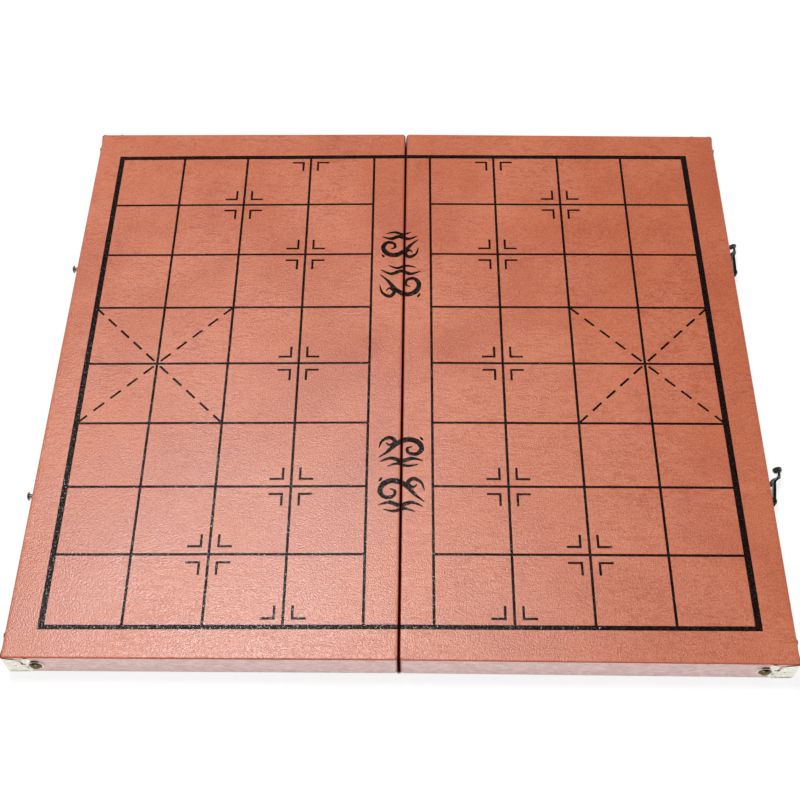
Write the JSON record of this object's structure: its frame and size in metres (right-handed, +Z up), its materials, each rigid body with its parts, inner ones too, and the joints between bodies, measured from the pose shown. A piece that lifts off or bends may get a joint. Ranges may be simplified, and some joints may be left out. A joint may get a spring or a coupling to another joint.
{
  "type": "folding board game box",
  "caption": "Folding board box: leather-covered wooden trays on a full-length hinge, grid board outside, storage inside, swing-hook catches.",
  "frame": {"origin": "on the table, below the middle of the hinge of the open board", "axes": "+X across the board towards the hooks, +Y from its front edge to its back edge, +Z up out of the playing surface"},
  "size_m": [0.4986, 0.444, 0.0226],
  "materials": {
    "leather": "pebbled leatherette, satin",
    "panel_board": "thin fibreboard",
    "rail_wood": "plain softwood",
    "flock_lining": "short flock on card",
    "hinge_steel": "nickel-plated steel",
    "guard_metal": "stamped, pale gilt plating",
    "nail_bronze": "dark antique bronze",
    "catch_bronze": "blackened antique bronze, rubbed edges"
  },
  "bodies": {
    "left_half": {"left_playing_panel": "panel_board", "left_spine_rail": "rail_wood", "left_outer_rail": "rail_wood", "left_front_rail": "rail_wood", "left_back_rail": "rail_wood", "left_leather_cover": "leather", "left_rim_hem": "leather", "left_lining": "flock_lining", "left_hinge_leaf": "hinge_steel", "left_hinge_screws": "hinge_steel", "left_front_corner_guard": "guard_metal", "left_back_corner_guard": "guard_metal", "left_front_corner_nails": "nail_bronze", "left_back_corner_nails": "nail_bronze", "hinge_pin": "hinge_steel", "front_catch_stud": "catch_bronze", "back_catch_stud": "catch_bronze"},
    "right_half": {"right_playing_panel": "panel_board", "right_spine_rail": "rail_wood", "right_outer_rail": "rail_wood", "right_front_rail": "rail_wood", "right_back_rail": "rail_wood", "right_leather_cover": "leather", "right_rim_hem": "leather", "right_lining": "flock_lining", "right_hinge_leaf": "hinge_steel", "right_hinge_screws": "hinge_steel", "right_front_corner_guard": "guard_metal", "right_back_corner_guard": "guard_metal", "right_front_corner_nails": "nail_bronze", "right_back_corner_nails": "nail_bronze", "front_hook_nail": "catch_bronze", "front_hook_ferrule": "catch_bronze", "back_hook_nail": "catch_bronze", "back_hook_ferrule": "catch_bronze"},
    "front_hook": {"front_hook_arm": "catch_bronze"},
    "back_hook": {"back_hook_arm": "catch_bronze"}
  },
  "joints": [
    {"name": "board_fold", "type": "hinge", "parent": "left_half", "child": "right_half", "pos_m": [0, 0, 0.0016], "axis": [0, 1, 0], "range_deg": [-1.3, 179.16]},
    {"name": "front_hook_swing", "type": "hinge", "parent": "right_half", "child": "front_hook", "pos_m": [0.24394, -0.1002, 0.00647], "axis": [0.9877, -0.1564, -0.0066], "range_deg": [-81, 180]},
    {"name": "back_hook_swing", "type": "hinge", "parent": "right_half", "child": "back_hook", "pos_m": [0.24394, 0.0934, 0.00647], "axis": [0.9986, -0.0523, -0.0067], "range_deg": [-81, 180]}
  ]
}
